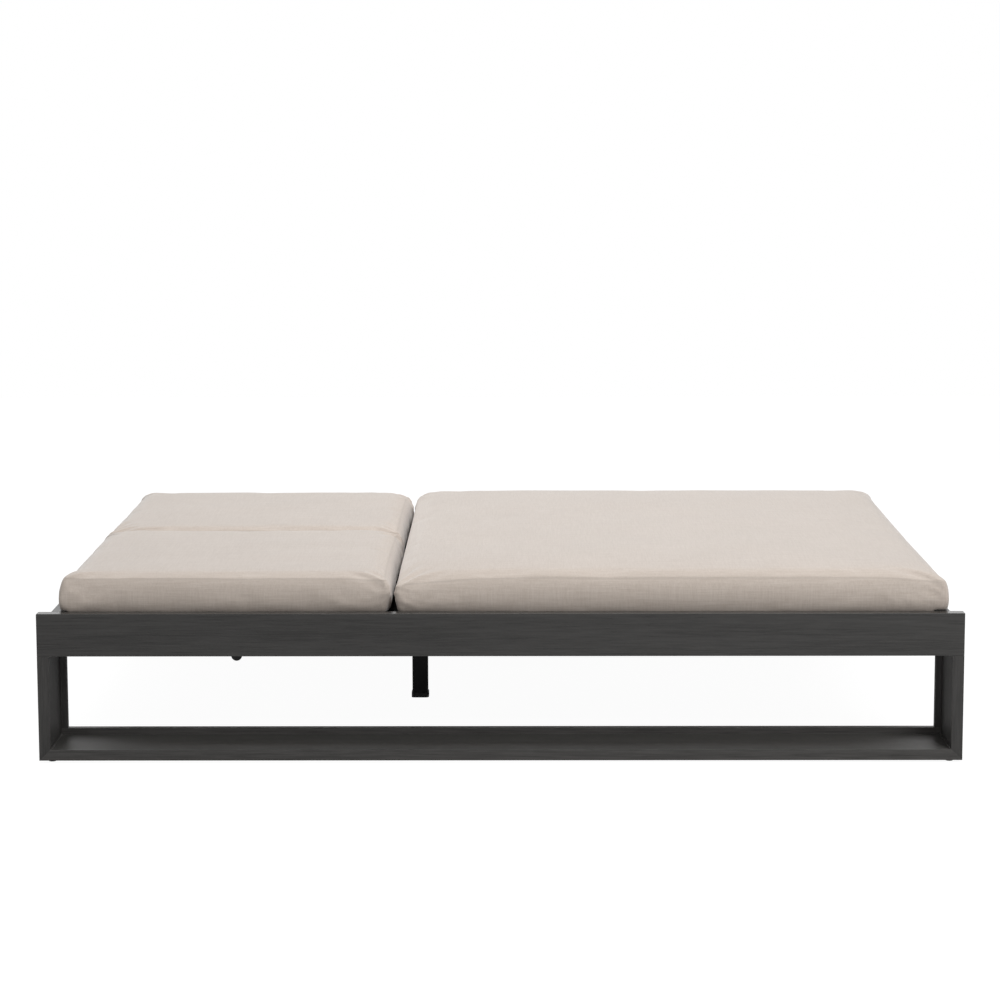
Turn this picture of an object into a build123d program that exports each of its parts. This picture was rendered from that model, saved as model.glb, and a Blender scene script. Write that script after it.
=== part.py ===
from build123d import *
import math
import os

# Double chaise lounger for a patio, in millimetres.
# X runs along the length (head end at -X, foot end at +X), -Y is the front long side
# and +Z is up. The origin is on the ground, under the middle of the frame.
# Two backs are hinged side by side on one cross beam and each has its own prop.

# Outer frame
frame_length = 2032.0
frame_width = 1422.0
loop_height = 328.0
glide_height = 6.0
tube_wall = 2.0

# Top rails, legs and lower rails of the two long side loops
rail_height = 94.7
rail_thick = 30.0
leg_thick = 24.9
lower_thick = 23.9
plank_depth = 176.0
lip_deep = 18.0
leg_lip = 13.5
lower_lip = 14.0
leg_drop = 28.0

# Cross rails at the head and the foot
cross_inset = 28.8
cross_thick = 30.0

# Corner joints
plate_margin = 6.0
corner_bolt_radius = 4.0
corner_bolt_drop = 79.0
corner_bolt_edge = 26.0
corner_bolt_grip = 12.0
bolt_head_radius = 6.5
bolt_head_height = 5.0
bolt_hole_gap = 0.3

# Platform
rim_height = 6.0
slat_thick = 12.0
slat_wide = 60.0
slat_end_gap = 1.0
seat_slat_count = 14
ledge_leg = 25.0
ledge_thick = 3.0
screw_radius = 2.5
screw_head_radius = 4.8
screw_head_height = 2.4
screw_length = 14.0
screw_edge = 13.0

# Beams under the platform
hinge_beam_wide = 38.0
back_bay = 757.2
beam_clear = 2.5
centre_beam_wide = 30.0
seat_beam_tall = 40.0
back_beam_tall = 37.0
hinge_tray_reach = 75.0
hinge_tray_thick = 2.0

# Centre leg
centre_leg_size = 38.0
centre_leg_round = 6.0
centre_foot_height = 12.0
centre_foot_extra = 2.0
centre_plate_size = 90.0
centre_plate_thick = 4.0
centre_screw_spacing = 66.0

# Glides under the lower rails
glide_radius = 8.0
glide_stem_radius = 4.0
glide_stem_length = 10.0
glide_end_inset = 25.0
glide_front = 26.0
glide_back_inset = 36.0

# Backs
back_side_gap = 4.0
back_head_gap = 4.0
stile_wide = 30.0
stile_tall = 35.0
end_rail_wide = 30.0
end_rail_tall = 25.0
back_slat_count = 8
back_slat_gap = 46.0

# Back hinges
hinge_reach = 18.0
hinge_drop = 27.0
hinge_eye_radius = 15.0
hinge_pin_radius = 5.0
hinge_pin_extra = 3.0
hinge_pin_head_radius = 8.0
hinge_pin_head = 3.0
back_end_gap = 32.0
lug_thick = 6.0
lug_length = 82.0
ear_thick = 6.0
side_play = 0.5
running_gap = 0.05

# Head rest of the lowered backs
rest_ledge_leg = 27.0
rest_ledge_thick = 3.0
rest_ledge_tall = 14.0
pad_radius = 10.0
pad_height = 5.7
seat_gap = 0.3
pad_side_inset = 60.0

# Props under the backs
foot_rest_clear = 20.4
prop_drop = 72.0
bracket_thick = 5.0
bracket_radius = 12.0
bracket_top_wide = 64.0
prop_pin_radius = 5.0
prop_pin_head_radius = 8.0
prop_pin_head = 3.0
prop_pin_extra = 3.0
arm_thick = 6.0
arm_wide = 20.0
foot_bar_radius = 6.0
foot_sleeve_radius = 8.0
foot_sleeve_length = 22.0
foot_bar_drop = 38.7
foot_end_gap = 1.0
spreader_radius = 6.0
spreader_share = 0.3

# Notched racks that carry the props
rack_thick = 6.0
rack_bottom_clear = 2.5
rack_head_overrun = 14.0
rack_foot_overrun = 22.0
notch_depth = 3.0
notch_angles = (24.0, 36.0, 48.0, 60.0)
rack_screw_shares = (0.08, 0.5, 0.92)
rack_screw_drop = 6.5
rack_screw_radius = 2.0
rack_screw_head_radius = 3.6
rack_screw_head = 1.5
rack_screw_length = 14.0

# Cushions
cushion_seam_height = 76.0
back_crown = 14.0
back_crown_ease = 1.0
seat_crown = 26.0
seat_crown_ease = 1.6
cushion_side_gap = 2.0
cushion_head_over = 11.8
cushion_head_clear = 6.2
cushion_foot_over = 26.3
cushion_rail_gap = 2.5
cushion_split_offset = 1.0
cushion_split_half = 0.2
cushion_middle_half = 0.6
cushion_side_bulge = 6.0
cushion_edge = 13.0
cushion_head_edge = cushion_head_over + cushion_head_clear
cushion_shoulder = 90.0

# Places along a cushion's end, as shares: of the edge roundness going in, then of the
# seam height for the underside and the seam, of the crown, and of the side bulge
cushion_end_shares = (
    (0.0, 0.40, 0.72, 0.05, 1.6),
    (0.28, 0.20, 0.88, 0.15, 0.8),
    (1.0, 0.0, 1.0, 0.35, 0.0),
    (6.0, 0.0, 1.0, 0.8, 0.2),
    (20.0, 0.0, 1.0, 1.0, 0.5),
)
shoulder_rise_share = 0.72
bulge_height_share = 0.55

# Levels
half_length = frame_length / 2
half_width = frame_width / 2
loop_bottom = glide_height
lower_top = loop_bottom + lower_thick
rail_top = loop_bottom + loop_height
rail_bottom = rail_top - rail_height
leg_top = rail_top - leg_drop
platform = rail_top - rim_height
slat_under = platform - slat_thick
beam_bottom = rail_bottom + beam_clear
hinge_z = platform - hinge_drop
stile_bottom = slat_under - stile_tall
end_rail_bottom = slat_under - end_rail_tall
cushion_floor = platform + seat_gap

# Places along the length and the width
rail_inner_y = half_width - rail_thick
glide_x = half_length - glide_end_inset
glide_back = plank_depth - glide_back_inset
cross_outer_x = half_length - cross_inset
cross_inner_x = cross_outer_x - cross_thick
hinge_beam_x = back_bay - cross_inner_x
hinge_beam_head = hinge_beam_x - hinge_beam_wide / 2
hinge_beam_foot = hinge_beam_x + hinge_beam_wide / 2
hinge_x = hinge_beam_head - hinge_reach
cushion_split_x = hinge_x + cushion_split_offset
back_outer_y = rail_inner_y - back_side_gap
back_inner_y = back_side_gap
back_head_x = -cross_inner_x + back_head_gap
back_end_x = hinge_x - back_end_gap
outer_stile_inner_y = back_outer_y - stile_wide
inner_stile_outer_y = back_inner_y + stile_wide

# Prop linkage: the arm is as long as its pivot's distance from the hinge, so the foot
# bar runs along a straight line that passes through the hinge axis. The pivot's reach
# puts the resting foot bar at its clearance from the head cross rail.
foot_reach = cross_inner_x + hinge_x - foot_rest_clear
foot_rise = prop_drop - foot_bar_drop
prop_reach = (foot_reach ** 2 - prop_drop ** 2 + foot_rise ** 2) / (2 * foot_reach)
prop_x = hinge_x - prop_reach
prop_z = hinge_z - prop_drop
arm_length = math.hypot(prop_reach, prop_drop)
pivot_angle = math.asin(prop_drop / arm_length)
rest_angle = math.asin(foot_rise / arm_length)
track_tilt = (pivot_angle - rest_angle) / 2
rest_half_angle = (pivot_angle + rest_angle) / 2


def block(x_low, x_high, y_low, y_high, z_low, z_high):
    """A plain box between six faces."""
    centre = Pos((x_low + x_high) / 2, (y_low + y_high) / 2, (z_low + z_high) / 2)
    return centre * Box(x_high - x_low, y_high - y_low, z_high - z_low)


def tube(x_low, x_high, y_low, y_high, z_low, z_high):
    """A rectangular tube with welded ends: a box with a closed hollow inside."""
    outside = block(x_low, x_high, y_low, y_high, z_low, z_high)
    inside = block(x_low + tube_wall, x_high - tube_wall, y_low + tube_wall,
                   y_high - tube_wall, z_low + tube_wall, z_high - tube_wall)
    return outside - inside


def rod_x(y, z, radius, x_low, x_high):
    """A round rod along X."""
    return Pos((x_low + x_high) / 2, y, z) * Rot(Y=90) * Cylinder(radius, x_high - x_low)


def rod_y(x, z, radius, y_low, y_high):
    """A round rod along Y."""
    return Pos(x, (y_low + y_high) / 2, z) * Rot(X=90) * Cylinder(radius, y_high - y_low)


def rod_z(x, y, radius, z_low, z_high):
    """A round rod along Z."""
    return Pos(x, y, (z_low + z_high) / 2) * Cylinder(radius, z_high - z_low)


def plate(outline, y_low, y_high):
    """A flat plate whose outline is drawn in X and Z, between two Y faces."""
    return extrude(Plane.XZ.offset(-y_high) * outline, y_high - y_low)


def outline_face(points):
    """A face from a closed row of X and Z points."""
    return make_face(Polyline(points, close=True))


def on_side(shape, side):
    """The shape on the front side, or mirrored to the rear side."""
    return shape if side < 0 else mirror(shape, about=Plane.XZ)


def save(name, shapes):
    """Write one node, made of one or more separate solids."""
    solids = [solid for shape in shapes for solid in shape.solids()]
    whole = solids[0] if len(solids) == 1 else Compound(children=solids)
    export_step(whole, os.path.join("parts", name + ".step"))


def foot_bar_place(angle):
    """X and Z of the prop's foot bar when the back is raised by the angle in degrees."""
    turn = math.radians(angle) - rest_half_angle
    reach = 2 * arm_length * math.cos(turn)
    return hinge_x - reach * math.cos(track_tilt), hinge_z - reach * math.sin(track_tilt)


def corner_bolt_places():
    """Y and Z of the two bolts that hold one front corner."""
    height = rail_top - corner_bolt_drop
    low = -rail_inner_y + corner_bolt_edge
    high = -half_width + plank_depth - corner_bolt_edge
    return [(low, height), (high, height)]


def top_rail():
    """Long top rail at the front: a tall rectangular tube, drilled for the rack screws."""
    rail = tube(-half_length, half_length, -half_width, -rail_inner_y, rail_bottom,
                rail_top)
    for x, z in rack_screw_places():
        rail -= rod_y(x, z, rack_screw_radius + bolt_hole_gap, -rail_inner_y - tube_wall,
                      -rail_inner_y)
    return rail


def lower_rail():
    """Lower rail: a deep flat plank with a low lip along its inner edge, mitred ends."""
    outline = outline_face([
        (-half_length, loop_bottom), (half_length, loop_bottom),
        (half_length - leg_thick, lower_top), (-half_length + leg_thick, lower_top)])
    rail = plate(outline, -half_width, -half_width + plank_depth)
    lip = block(-half_length + leg_thick, half_length - leg_thick,
                -half_width + plank_depth - lip_deep, -half_width + plank_depth,
                lower_top, lower_top + lower_lip)
    hollow = block(-half_length + leg_thick, half_length - leg_thick,
                   -half_width + tube_wall, -half_width + plank_depth - tube_wall,
                   loop_bottom + tube_wall, lower_top - tube_wall)
    rail = rail + lip - hollow
    for x in (-glide_x, glide_x):
        for setback in (glide_front, glide_back):
            rail -= rod_z(x, -half_width + setback, glide_stem_radius + bolt_hole_gap,
                          loop_bottom, loop_bottom + glide_stem_length + bolt_hole_gap)
    return rail


def leg(end):
    """Leg plank at the head (-1) or foot (+1): notched for the top rail, mitred below."""
    outer = end * half_length
    inner = end * (half_length - leg_thick)
    outline = outline_face([(outer, loop_bottom), (outer, leg_top), (inner, leg_top),
                            (inner, lower_top)])
    body = plate(outline, -half_width, -half_width + plank_depth)
    notch = block(min(outer, inner), max(outer, inner), -half_width, -rail_inner_y,
                  rail_bottom, leg_top)
    lip_face = end * (half_length - leg_thick - leg_lip)
    lip = block(min(inner, lip_face), max(inner, lip_face),
                -half_width + plank_depth - lip_deep, -half_width + plank_depth,
                lower_top + lower_lip, rail_bottom)
    hollow = block(min(outer, inner) + tube_wall, max(outer, inner) - tube_wall,
                   -half_width + tube_wall, -half_width + plank_depth - tube_wall,
                   lower_top, rail_bottom - tube_wall)
    body = body - notch + lip - hollow
    for y, z in corner_bolt_places():
        low = min(inner, inner + end * corner_bolt_grip)
        high = max(inner, inner + end * corner_bolt_grip)
        body -= rod_x(y, z, corner_bolt_radius + bolt_hole_gap, low, high)
    return body


def cross_rail(end):
    """Cross rail at the head or foot, between the two top rails."""
    low = min(end * cross_outer_x, end * cross_inner_x)
    high = max(end * cross_outer_x, end * cross_inner_x)
    rail = tube(low, high, -rail_inner_y, rail_inner_y, rail_bottom, rail_top)
    for y, z in corner_bolt_places():
        for side in (-1, 1):
            rail -= rod_x(-side * y, z, corner_bolt_radius + bolt_hole_gap, low, high)
    return rail


def corner_plate(end):
    """Steel plate between a leg's inner face and the cross rail's outer face."""
    inner = end * (half_length - leg_thick)
    low = min(inner, end * cross_outer_x)
    high = max(inner, end * cross_outer_x)
    body = block(low, high, -rail_inner_y + plate_margin,
                 -half_width + plank_depth - plate_margin, rail_bottom + plate_margin,
                 leg_top - plate_margin)
    for y, z in corner_bolt_places():
        body -= rod_x(y, z, corner_bolt_radius + bolt_hole_gap, low, high)
    return body


def corner_bolts(end):
    """Two bolts of one corner, driven from inside the cross rail into the leg."""
    bolts = []
    tip = end * (half_length - leg_thick + corner_bolt_grip - bolt_hole_gap)
    seat = end * cross_inner_x
    head = end * (cross_inner_x - bolt_head_height)
    for y, z in corner_bolt_places():
        shank = rod_x(y, z, corner_bolt_radius, min(tip, seat), max(tip, seat))
        bolts.append(shank + rod_x(y, z, bolt_head_radius, min(seat, head), max(seat, head)))
    return bolts


def hinge_beam():
    """Cross beam under the split between seat and backs; carries hinges and centre leg."""
    beam = tube(hinge_beam_head, hinge_beam_foot, -rail_inner_y, rail_inner_y,
                beam_bottom, slat_under)
    for x, y in centre_screw_places():
        beam -= rod_z(x, y, screw_radius + bolt_hole_gap, beam_bottom,
                      beam_bottom + tube_wall)
    return beam


def hinge_tray():
    """Black sheet that closes the hinge line from below, welded to the beams and rail."""
    return block(hinge_beam_head - hinge_tray_reach, hinge_beam_head, -rail_inner_y,
                 -centre_beam_wide / 2, beam_bottom, beam_bottom + hinge_tray_thick)


def seat_centre_beam():
    """Beam under the middle of the seat slats."""
    return tube(hinge_beam_foot, cross_inner_x, -centre_beam_wide / 2,
                centre_beam_wide / 2, slat_under - seat_beam_tall, slat_under)


def back_centre_beam():
    """Lower beam between the two backs; carries the two inner racks."""
    beam = tube(-cross_inner_x, hinge_beam_head, -centre_beam_wide / 2,
                centre_beam_wide / 2, beam_bottom, beam_bottom + back_beam_tall)
    for x, z in rack_screw_places():
        beam -= rod_y(x, z, rack_screw_radius + bolt_hole_gap, -centre_beam_wide / 2,
                      centre_beam_wide / 2)
    return beam


def seat_ledge():
    """Angle on the top rail's inner face that carries the ends of the seat slats."""
    outer = -rail_inner_y
    upright = block(hinge_beam_foot, cross_inner_x, outer, outer + ledge_thick,
                    slat_under - ledge_leg, slat_under)
    shelf = block(hinge_beam_foot, cross_inner_x, outer, outer + ledge_leg,
                  slat_under - ledge_thick, slat_under)
    angle = upright + shelf
    for x in seat_slat_places()[1:]:
        angle -= rod_z(x, outer + screw_edge, screw_radius + bolt_hole_gap,
                       slat_under - ledge_thick, slat_under)
    return angle


def seat_slat_places():
    """X of each seat slat's middle, from the hinge beam to the foot cross rail."""
    first = hinge_beam_head + slat_end_gap + slat_wide / 2
    last = cross_inner_x - slat_end_gap - slat_wide / 2
    step = (last - first) / (seat_slat_count - 1)
    return [first + step * index for index in range(seat_slat_count)]


def seat_slats():
    """Seat slats across the frame, with a screw hole near each end."""
    slats = []
    reach = rail_inner_y - slat_end_gap
    for index, x in enumerate(seat_slat_places()):
        slat = tube(x - slat_wide / 2, x + slat_wide / 2, -reach, reach,
                    slat_under, platform)
        if index > 0:
            for side in (-1, 1):
                y = side * (rail_inner_y - screw_edge)
                slat -= rod_z(x, y, screw_radius + bolt_hole_gap, slat_under, platform)
        slats.append(slat)
    return slats


def seat_slat_screws():
    """Screws driven up through the ledges into the seat slats."""
    screws = []
    seat = slat_under - ledge_thick
    for x in seat_slat_places()[1:]:
        for side in (-1, 1):
            y = side * (rail_inner_y - screw_edge)
            shank = rod_z(x, y, screw_radius, seat, seat + screw_length)
            head = rod_z(x, y, screw_head_radius, seat - screw_head_height, seat)
            screws.append(shank + head)
    return screws


def centre_screw_places():
    """X and Y of the two screws of the centre leg's plate."""
    half = centre_screw_spacing / 2
    return [(hinge_beam_x, -half), (hinge_beam_x, half)]


def centre_leg_profile(extra):
    """Rounded square outline of the centre leg, grown by an extra all round."""
    side = centre_leg_size + 2 * extra
    return Pos(hinge_beam_x, 0) * RectangleRounded(side, side, centre_leg_round + extra)


def centre_leg():
    """Centre leg: a rounded square tube from its plate down into the foot."""
    top = beam_bottom - centre_plate_thick
    bottom = centre_foot_height / 2
    outer = extrude(centre_leg_profile(0), top - bottom)
    bore = extrude(centre_leg_profile(-tube_wall), top - bottom)
    return Pos(0, 0, bottom) * (outer - bore)


def centre_leg_plate():
    """Plate on top of the centre leg, screwed up into the hinge beam."""
    top = beam_bottom
    body = block(hinge_beam_head, hinge_beam_foot, -centre_plate_size / 2,
                 centre_plate_size / 2, top - centre_plate_thick, top)
    for x, y in centre_screw_places():
        body -= rod_z(x, y, screw_radius + bolt_hole_gap, top - centre_plate_thick, top)
    return body


def centre_leg_screws():
    """Two screws through the centre leg's plate."""
    screws = []
    seat = beam_bottom - centre_plate_thick
    for x, y in centre_screw_places():
        shank = rod_z(x, y, screw_radius, seat, seat + screw_length)
        head = rod_z(x, y, screw_head_radius, seat - screw_head_height, seat)
        screws.append(shank + head)
    return screws


def centre_leg_foot():
    """Moulded foot: a cup round the lower end of the centre leg, standing on the ground."""
    cup = extrude(centre_leg_profile(centre_foot_extra), centre_foot_height)
    socket = Pos(0, 0, centre_foot_height / 2) * extrude(centre_leg_profile(0),
                                                         centre_foot_height / 2)
    return cup - socket


def foot_glides():
    """Eight round glides, each with a stem up into a lower rail."""
    glides = []
    for x in (-glide_x, glide_x):
        for side in (-1, 1):
            for setback in (glide_front, glide_back):
                y = side * (half_width - setback)
                disc = rod_z(x, y, glide_radius, 0, glide_height)
                stem = rod_z(x, y, glide_stem_radius, glide_height,
                             glide_height + glide_stem_length)
                glides.append(disc + stem)
    return glides


def head_rest_ledge():
    """Angle on the head cross rail under the head rails of both backs."""
    wall = -cross_inner_x
    top = end_rail_bottom - seat_gap - pad_height
    reach = back_outer_y
    upright = block(wall, wall + rest_ledge_thick, -reach, reach, top - rest_ledge_tall, top)
    shelf = block(wall, wall + rest_ledge_leg, -reach, reach, top - rest_ledge_thick, top)
    ledge = upright + shelf
    slot = block(wall, wall + rest_ledge_leg, -centre_beam_wide / 2 - side_play,
                 centre_beam_wide / 2 + side_play, top - rest_ledge_tall,
                 beam_bottom + back_beam_tall + side_play)
    return ledge - slot


def rest_pads():
    """Four rubber pads that the lowered backs rest on."""
    x = -cross_inner_x + rest_ledge_leg / 2
    top = end_rail_bottom - seat_gap
    outer = back_outer_y - pad_side_inset
    inner = back_inner_y + pad_side_inset
    return [rod_z(x, y, pad_radius, top - pad_height, top)
            for y in (-outer, -inner, inner, outer)]


def lug_faces(outer):
    """The two Y faces of a hinge lug on the front back, at its outer or inner stile."""
    if outer:
        return -outer_stile_inner_y, -outer_stile_inner_y + lug_thick
    return -inner_stile_outer_y - lug_thick, -inner_stile_outer_y


def hinge_ears():
    """Pairs of ears on the hinge beam, one pair round each lug of the front back."""
    ears = []
    outline = Pos(hinge_x, hinge_z) * Circle(hinge_eye_radius)
    outline += outline_face([
        (hinge_x, hinge_z - hinge_eye_radius), (hinge_beam_head, hinge_z - hinge_eye_radius),
        (hinge_beam_head, hinge_z + hinge_eye_radius), (hinge_x, hinge_z + hinge_eye_radius)])
    outline -= Pos(hinge_x, hinge_z) * Circle(hinge_pin_radius + running_gap)
    for outer in (True, False):
        low, high = lug_faces(outer)
        ears.append(plate(outline, low - side_play - ear_thick, low - side_play))
        ears.append(plate(outline, high + side_play, high + side_play + ear_thick))
    return ears


def hinge_pins():
    """Headed pins of the front back's two hinges."""
    pins = []
    for outer in (True, False):
        low, high = lug_faces(outer)
        start = low - side_play - ear_thick
        end = high + side_play + ear_thick
        shank = rod_y(hinge_x, hinge_z, hinge_pin_radius, start, end + hinge_pin_extra)
        head = rod_y(hinge_x, hinge_z, hinge_pin_head_radius, start - hinge_pin_head, start)
        pins.append(shank + head)
    return pins


def rack_screw_places():
    """X and Z of a rack's screws."""
    rest_x, rest_z = foot_bar_place(0)
    last_x, last_z = foot_bar_place(notch_angles[-1])
    height = beam_bottom + rack_screw_drop
    return [(rest_x + (last_x - rest_x) * share, height) for share in rack_screw_shares]


def rack(wall, direction):
    """Notched rack plate on a wall at Y, growing in the direction given."""
    rest_x, rest_z = foot_bar_place(0)
    last_x, last_z = foot_bar_place(notch_angles[-1])
    drop = (foot_sleeve_radius + seat_gap) / math.cos(track_tilt)
    slope = math.tan(track_tilt)
    low_x = rest_x - rack_head_overrun
    high_x = last_x + rack_foot_overrun
    bottom = rail_bottom + rack_bottom_clear
    outline = outline_face([
        (low_x, bottom), (high_x, bottom),
        (high_x, last_z + slope * rack_foot_overrun - drop),
        (low_x, rest_z - slope * rack_head_overrun - drop)])
    for angle in notch_angles:
        x, z = foot_bar_place(angle)
        outline -= Pos(x, z - notch_depth) * Circle(foot_sleeve_radius + seat_gap)
    for x, z in rack_screw_places():
        outline -= Pos(x, z) * Circle(rack_screw_radius + bolt_hole_gap)
    low = min(wall, wall + direction * rack_thick)
    high = max(wall, wall + direction * rack_thick)
    return plate(outline, low, high)


def rack_screws(wall, direction):
    """Flat-headed screws through a rack into its wall."""
    screws = []
    face = wall + direction * rack_thick
    tip = face - direction * rack_screw_length
    cap = face + direction * rack_screw_head
    for x, z in rack_screw_places():
        shank = rod_y(x, z, rack_screw_radius, min(face, tip), max(face, tip))
        head = rod_y(x, z, rack_screw_head_radius, min(face, cap), max(face, cap))
        screws.append(shank + head)
    return screws


def back_stiles():
    """The two stiles of the front back."""
    low = back_head_x + end_rail_wide
    outer = tube(low, back_end_x, -back_outer_y, -outer_stile_inner_y,
                 stile_bottom, slat_under)
    inner = tube(low, back_end_x, -inner_stile_outer_y, -back_inner_y,
                 stile_bottom, slat_under)
    return [outer, inner]


def back_head_rail():
    """Head rail of the front back, across the ends of its stiles."""
    return tube(back_head_x, back_head_x + end_rail_wide, -back_outer_y, -back_inner_y,
                end_rail_bottom, slat_under)


def back_hinge_rail():
    """Rail of the front back between its hinge lugs."""
    low = lug_faces(True)[1]
    high = lug_faces(False)[0]
    return tube(back_end_x - end_rail_wide, back_end_x, low, high, end_rail_bottom,
                slat_under)


def back_slats():
    """Slats across the front back."""
    slats = []
    first = back_head_x + slat_wide / 2
    last = hinge_x - back_slat_gap - slat_wide / 2
    step = (last - first) / (back_slat_count - 1)
    for index in range(back_slat_count):
        x = first + step * index
        slats.append(tube(x - slat_wide / 2, x + slat_wide / 2, -back_outer_y,
                          -back_inner_y, slat_under, platform))
    return slats


def hinge_lugs():
    """Eye plates on the front back's stiles."""
    lugs = []
    outline = Pos(hinge_x, hinge_z) * Circle(hinge_eye_radius)
    outline += outline_face([
        (hinge_x - lug_length, hinge_z - hinge_eye_radius),
        (hinge_x, hinge_z - hinge_eye_radius), (hinge_x, hinge_z + hinge_eye_radius),
        (hinge_x - lug_length, hinge_z + hinge_eye_radius)])
    outline -= Pos(hinge_x, hinge_z) * Circle(hinge_pin_radius + running_gap)
    for outer in (True, False):
        low, high = lug_faces(outer)
        lugs.append(plate(outline, low, high))
    return lugs


def bracket_faces(outer):
    """The two Y faces of a prop bracket on the front back."""
    if outer:
        return -outer_stile_inner_y, -outer_stile_inner_y + bracket_thick
    return -inner_stile_outer_y - bracket_thick, -inner_stile_outer_y


def arm_faces(outer):
    """The two Y faces of a prop arm, beside its bracket."""
    low, high = bracket_faces(outer)
    if outer:
        return high + side_play, high + side_play + arm_thick
    return low - side_play - arm_thick, low - side_play


def prop_brackets():
    """Brackets that hang from the stiles and hold the prop's pivot pins."""
    brackets = []
    outline = Pos(prop_x, prop_z) * Circle(bracket_radius)
    outline += outline_face([
        (prop_x - bracket_radius, prop_z), (prop_x + bracket_radius, prop_z),
        (prop_x + bracket_top_wide / 2, stile_bottom),
        (prop_x + bracket_top_wide / 2, slat_under),
        (prop_x - bracket_top_wide / 2, slat_under),
        (prop_x - bracket_top_wide / 2, stile_bottom)])
    outline -= Pos(prop_x, prop_z) * Circle(prop_pin_radius + running_gap)
    for outer in (True, False):
        low, high = bracket_faces(outer)
        brackets.append(plate(outline, low, high))
    return brackets


def prop_pins():
    """Headed pivot pins of the front prop, held in the brackets."""
    pins = []
    for outer in (True, False):
        bracket_low, bracket_high = bracket_faces(outer)
        arm_low, arm_high = arm_faces(outer)
        out = -1 if outer else 1
        seat = bracket_low if outer else bracket_high
        tip = (arm_high if outer else arm_low) - out * prop_pin_extra
        cap = seat + out * prop_pin_head
        shank = rod_y(prop_x, prop_z, prop_pin_radius, min(seat, tip), max(seat, tip))
        head = rod_y(prop_x, prop_z, prop_pin_head_radius, min(seat, cap), max(seat, cap))
        pins.append(shank + head)
    return pins


def spreader_place():
    """X and Z of the spreader, in the middle of the arms' height."""
    foot_x, foot_z = foot_bar_place(0)
    rise = arm_wide / 4 * (1 - spreader_share)
    return (prop_x + (foot_x - prop_x) * spreader_share,
            prop_z + (foot_z - prop_z) * spreader_share + rise)


def prop_arms():
    """Flat arms of the front prop: an eye at each end and a web that tapers upwards."""
    foot_x, foot_z = foot_bar_place(0)
    eye = arm_wide / 2
    outline = outline_face([(prop_x, prop_z), (prop_x, prop_z + eye),
                            (foot_x, foot_z + eye), (foot_x, foot_z - eye)])
    outline += Pos(prop_x, prop_z) * Circle(eye)
    outline += Pos(foot_x, foot_z) * Circle(eye)
    outline -= Pos(prop_x, prop_z) * Circle(prop_pin_radius + running_gap)
    outline -= Pos(foot_x, foot_z) * Circle(foot_bar_radius + running_gap)
    arms = []
    for outer in (True, False):
        low, high = arm_faces(outer)
        arms.append(plate(outline, low, high))
    return arms


def prop_spreader():
    """Round spreader welded between the two arms."""
    x, z = spreader_place()
    return rod_y(x, z, spreader_radius, arm_faces(True)[1], arm_faces(False)[0])


def foot_bar_ends():
    """The Y of both ends of the front prop's foot bar."""
    return -rail_inner_y + foot_end_gap, -centre_beam_wide / 2 - foot_end_gap


def prop_foot_bar():
    """Round bar across the lower ends of the arms."""
    foot_x, foot_z = foot_bar_place(0)
    low, high = foot_bar_ends()
    return rod_y(foot_x, foot_z, foot_bar_radius, low, high)


def prop_foot_sleeves():
    """Plastic sleeves on the ends of the foot bar, which ride on the racks."""
    foot_x, foot_z = foot_bar_place(0)
    low, high = foot_bar_ends()
    sleeves = []
    for start, stop in ((low, low + foot_sleeve_length), (high - foot_sleeve_length, high)):
        body = rod_y(foot_x, foot_z, foot_sleeve_radius, start, stop)
        sleeves.append(body - rod_y(foot_x, foot_z, foot_bar_radius + running_gap, start, stop))
    return sleeves


def cushion_section(x, y_low, y_high, lift, seam, crown):
    """One closed section of a cushion: flat base, bulging sides, shoulders and crown."""
    bottom = cushion_floor + lift
    edge = cushion_floor + seam
    swell = bottom + (edge - bottom) * bulge_height_share
    rise = edge + crown * shoulder_rise_share
    middle = (y_low + y_high) / 2
    left = y_low + cushion_side_bulge
    right = y_high - cushion_side_bulge
    half_rise = edge + (rise - edge) * bulge_height_share
    half_way = cushion_shoulder * (1 - bulge_height_share)
    edges = [
        Line((x, left, bottom), (x, right, bottom)),
        ThreePointArc((x, right, bottom), (x, y_high, swell), (x, right, edge)),
        ThreePointArc((x, right, edge), (x, right - half_way, half_rise),
                      (x, right - cushion_shoulder, rise)),
        ThreePointArc((x, right - cushion_shoulder, rise), (x, middle, edge + crown),
                      (x, left + cushion_shoulder, rise)),
        ThreePointArc((x, left + cushion_shoulder, rise), (x, left + half_way, half_rise),
                      (x, left, edge)),
        ThreePointArc((x, left, edge), (x, y_low, swell), (x, left, bottom)),
    ]
    return Wire(edges)


def cushion(x_ends, x_edges, y_low, y_high, crown_height, crown_ease):
    """A box cushion: a loft through sections that swell from each rounded end."""
    sections = []
    for end, edge, inward in zip(x_ends, x_edges, (1, -1)):
        rows = []
        for deep, under, seam, crown, draw in cushion_end_shares:
            inset = cushion_side_bulge * draw
            rows.append(cushion_section(
                end + inward * edge * min(deep, 1) + inward * cushion_edge * max(deep - 1, 0),
                y_low + inset, y_high - inset, cushion_seam_height * under,
                cushion_seam_height * seam, crown_height * crown ** crown_ease))
        sections += rows if inward > 0 else rows[::-1]
    return Solid.make_loft(sections, True)


def seat_cushion():
    """The one-piece seat cushion over both seats, which also lies on the foot cross rail."""
    reach = rail_inner_y - cushion_side_gap
    body = cushion((cushion_split_x + cushion_split_half, cross_inner_x + cushion_foot_over),
                   (cushion_edge, cushion_edge), -reach, reach, seat_crown, seat_crown_ease)
    return body - block(cross_inner_x - cushion_rail_gap, cross_outer_x, -rail_inner_y,
                        rail_inner_y, platform, rail_top + seat_gap)


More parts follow.
